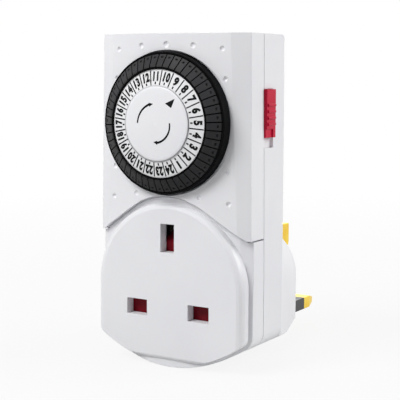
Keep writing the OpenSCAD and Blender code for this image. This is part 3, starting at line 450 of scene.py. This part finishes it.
# How far lines and marks stand off their face and reach into it, and how far the middle of
# the numbers' thickness stands off it
PRINT_T = 0.03

# Numbers: how far their outline is moved outwards and half their thickness, as shares of
# their size, the spacing of their digits as a factor, and the steps of a curve
BOLD = 0.056
DIGIT_EXTRUDE = 0.01
DIGIT_SPACE = 1.12
DIGIT_CURVE_STEPS = 3

# Size and narrowing of the numbers of one digit and of two, and the radius they stand at. They
# run anticlockwise, and NUMBER_BEFORE stands just before the first hour line.
ONE_DIGIT = (3.3, 0.88)
TWO_DIGITS = (3.5, 0.69)
NUMERAL_R = 13.9
NUMBER_BEFORE = 11

# Lines between the numbers and ticks inside them: their two radii, and their width
LINE_R = (CAP_R + 0.15, SCALE_R - 0.3)
LINE_W = 0.36
TICK_R = (CAP_R + 0.35, CAP_R + 1.1)
TICK_W = 0.42

# The cap's pointer by its corners as (radius, degrees), and its two arrows as (first radius,
# last radius, first degrees, last degrees)
POINTER = ((9.9, 41), (7.2, 48.5), (6.9, 28.5))
ARROWS = ((6.5, 6.1, -89, -9), (4.9, 5.6, 86, 188))

# An arrow's shaft: its full width, the share of it at the tail, the share gained along the way
# and the number of steps
ARROW_W = 0.66
TAIL_SHARE = 0.7
TAIL_GAIN = 0.3
ARROW_STEPS = 18

# An arrow's head: its length, its overlap with the shaft and the skew of its base in degrees,
# its half width, and how far inwards its tip lies
HEAD_DEG = 13.0
HEAD_OVERLAP_DEG = 1.5
HEAD_SKEW_DEG = 1.0
HEAD_HALF_W = 0.62
TIP_INWARDS = 0.15


def polar(radius, degrees):
    """A point about the dial axis at an angle clockwise from the top, as (x, z)."""
    a = math.radians(degrees)
    return (radius * math.sin(a), radius * math.cos(a))


def bar(inner, outer, degrees, width):
    """The outline of a radial bar between two radii."""
    a = math.radians(degrees)
    across = (math.cos(a), -math.sin(a))
    (x0, z0), (x1, z1) = polar(inner, degrees), polar(outer, degrees)
    return [(x0 - across[0] * width / 2, z0 - across[1] * width / 2),
            (x0 + across[0] * width / 2, z0 + across[1] * width / 2),
            (x1 + across[0] * width / 2, z1 + across[1] * width / 2),
            (x1 - across[0] * width / 2, z1 - across[1] * width / 2)]


def flat_print(name, outlines, depth_of):
    """Thin raised print on a face towards -Y. Outlines are lists of (x, z) in millimetres
    about the dial axis, and depth_of gives the face's y at a point."""
    verts, faces = [], []
    for outline in outlines:
        n, base = len(outline), len(verts)
        for lift in (PRINT_T, -PRINT_T):
            for x, z in outline:
                verts.append((x * MM, (depth_of(x, z) - lift) * MM, (z + DIAL_Z) * MM))
        faces.append(tuple(range(base, base + n)))
        faces.append(tuple(range(base + 2 * n - 1, base + n - 1, -1)))
        for i in range(n):
            j = (i + 1) % n
            faces.append((base + j, base + i, base + n + i, base + n + j))
    return mesh_object(name, verts, faces)


def scale_depth(x, z):
    """Depth of the hour scale's face: a shallow cone that rises towards the cap."""
    share = (SCALE_R - math.hypot(x, z)) / (SCALE_R - CAP_R)
    return SCALE_Y - SCALE_RISE * share


def cap_depth(x, z):
    """Depth of the cap's domed front."""
    share = (x * x + z * z) / (CAP_R * CAP_R)
    return CAP_FRONT_Y + (CAP_EDGE_Y - CAP_FRONT_Y) * share


def numeral_shape(number):
    """A bold number as a thin mesh, flat about its own middle."""
    curve = bpy.data.curves.new(f"numeral_{number}", "FONT")
    curve.body = str(number)
    curve.align_x = "CENTER"
    curve.align_y = "CENTER"
    curve.offset = BOLD
    curve.space_character = DIGIT_SPACE
    curve.extrude = DIGIT_EXTRUDE
    curve.resolution_u = DIGIT_CURVE_STEPS
    obj = bpy.data.objects.new(f"numeral_{number}", curve)
    bpy.context.collection.objects.link(obj)
    bpy.context.view_layer.update()
    depsgraph = bpy.context.evaluated_depsgraph_get()
    mesh = bpy.data.meshes.new_from_object(obj.evaluated_get(depsgraph))
    bpy.data.objects.remove(obj)
    return mesh


def numeral_mesh(number):
    """A number laid on the hour scale in its place, with its top outwards."""
    size, squeeze = TWO_DIGITS if number > 9 else ONE_DIGIT
    degrees = FIRST_LINE_DEG - HOUR_DEG / 2 + (NUMBER_BEFORE - number) * HOUR_DEG
    narrow = Matrix.Diagonal((squeeze * size * MM, size * MM, size * MM, 1))
    upright = Matrix.Rotation(math.radians(90), 4, "X")
    out = Matrix.Translation((0, 0, NUMERAL_R * MM))
    turn = Matrix.Rotation(math.radians(degrees), 4, "Y")
    mesh = numeral_shape(number)
    mesh.transform(turn @ out @ upright @ narrow)
    for v in mesh.vertices:
        v.co.y += (scale_depth(v.co.x / MM, v.co.z / MM) - PRINT_T) * MM
        v.co.z += DIAL_Z * MM
    return mesh


def make_numerals(materials):
    """The numbers 1 to 24 on the hour scale."""
    meshes = [numeral_mesh(number) for number in range(1, HOURS + 1)]
    obj = join_meshes("hour_numerals", meshes)
    obj.data.materials.append(materials["print"])
    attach(obj, "dial")


def make_scale_lines(materials):
    """The lines between the numbers, and a tick on the inside of each number."""
    outlines = []
    for i in range(HOURS):
        degrees = FIRST_LINE_DEG + i * HOUR_DEG
        outlines.append(bar(*LINE_R, degrees, LINE_W))
        outlines.append(bar(*TICK_R, degrees + HOUR_DEG / 2, TICK_W))
    obj = flat_print("scale_lines", outlines, scale_depth)
    obj.data.materials.append(materials["print"])
    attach(obj, "dial")


def arrow_head(radius, stop):
    """The triangle that ends an arrow at an angle about the dial axis."""
    tail = stop - HEAD_DEG - HEAD_OVERLAP_DEG
    return [polar(radius - HEAD_HALF_W, tail),
            polar(radius - TIP_INWARDS, stop),
            polar(radius + HEAD_HALF_W, tail + HEAD_SKEW_DEG)]


def curved_arrow(r0, r1, start, stop):
    """Quads along an arc whose radius drifts from r0 to r1, then a head."""
    outlines = []
    for i in range(ARROW_STEPS):
        pair = []
        for k in (i, i + 1):
            t = k / ARROW_STEPS
            a = start + (stop - HEAD_DEG - start) * t
            w = ARROW_W * (TAIL_SHARE + TAIL_GAIN * t)
            r = r0 + (r1 - r0) * t
            pair.append((polar(r - w / 2, a), polar(r + w / 2, a)))
        outlines.append([pair[0][0], pair[1][0], pair[1][1], pair[0][1]])
    outlines.append(arrow_head(r1, stop))
    return outlines


def make_cap_print(materials):
    """The pointer and the two curved arrows on the fixed cap."""
    outlines = [[polar(*corner) for corner in POINTER]]
    for arrow in ARROWS:
        outlines += curved_arrow(*arrow)
    obj = flat_print("cap_marks", outlines, cap_depth)
    obj.data.materials.append(materials["print"])
    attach(obj, "housing")


# ---- Seam, in millimetres ----

# Corners of the lip's section: how far above the seam, and how far behind the front's face
LIP_SECTION = ((-0.25, 2.05), (0.75, 2.05), (0.75, 2.6), (-0.25, 2.6))

# Steps of the path along the seam: half of its arc, and one slope
ARC_STEPS = 12
SLOPE_STEPS = 8


def bulge_sag(x):
    """How far the bulge falls back from its middle line at x."""
    return BULGE_R - math.sqrt(BULGE_R ** 2 - x ** 2)


def crease_point(x, z):
    """A point of the crease between the bulge and the sloped band."""
    return Vector((x, CROWN_Y + bulge_sag(x), z))


def front_depth(x, z):
    """Depth of the timer cover's front: the bulge, or the sloped band beyond the crease."""
    x = abs(x)
    top = crease_point(*CREASE_TOP)
    low = crease_point(*CREASE_LOW)
    edge = Vector((BAND_EDGE_X, top.y + BAND_DEPTH, CREASE_TOP[1]))
    normal = (low - top).cross(edge - top)
    band = top.y - (normal.x * (x - top.x) + normal.z * (z - top.z)) / normal.y
    return max(CROWN_Y + bulge_sag(x), band)


def seam_right_half():
    """The seam from its middle to the right side, as (x, z, outward normal's x and z)."""
    slope = math.radians(SEAM_SLOPE)
    centre_z = SEAM_APEX_Z - SEAM_R
    foot = (SEAM_R * math.sin(slope)
            + (centre_z + SEAM_R * math.cos(slope) - SEAM_SIDE_Z) / math.tan(slope))
    points = []
    for k in range(ARC_STEPS + 1):
        a = slope * k / ARC_STEPS
        points.append((SEAM_R * math.sin(a), centre_z + SEAM_R * math.cos(a),
                       math.sin(a), math.cos(a)))
    x0, z0 = points[-1][:2]
    for k in range(1, SLOPE_STEPS + 1):
        t = k / SLOPE_STEPS
        points.append((x0 + (foot - x0) * t, z0 + (SEAM_SIDE_Z - z0) * t,
                       math.sin(slope), math.cos(slope)))
    for x in SEAM_END_X:
        points.append((x, SEAM_SIDE_Z, 0.0, 1.0))
    return points


def seam_path():
    """Points and outward normals along the seam, from the left side to the right."""
    right = seam_right_half()
    return [(-x, z, -nx, nz) for x, z, nx, nz in reversed(right[1:])] + right


def make_seam_lip(materials):
    """The socket cover's tongue, which closes the seam behind the timer cover's edge."""
    verts, faces = [], []
    path = seam_path()
    corners = len(LIP_SECTION)
    for x, z, nx, nz in path:
        for above, behind in LIP_SECTION:
            px, pz = x + nx * above, z + nz * above
            verts.append((px * MM, (front_depth(x, z) + behind) * MM, pz * MM))
    for i in range(len(path) - 1):
        here, there = corners * i, corners * (i + 1)
        for k in range(corners):
            j = (k + 1) % corners
            faces.append((here + k, here + j, there + j, there + k))
    last = corners * (len(path) - 1)
    faces.append(tuple(reversed(range(corners))))
    faces.append(tuple(range(last, last + corners)))
    obj = mesh_object("seam_lip", verts, faces)
    obj.data.materials.append(materials["white_plastic"])
    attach(obj, "housing")


# ---- Whole scene ----

make_camera()
make_world()
for lamp in LAMPS:
    area_lamp(*lamp)
make_floor()
skins = make_materials()
dress_frame(skins)
make_numerals(skins)
make_scale_lines(skins)
make_cap_print(skins)
make_seam_lip(skins)

bpy.context.scene.view_settings.view_transform = "Standard"
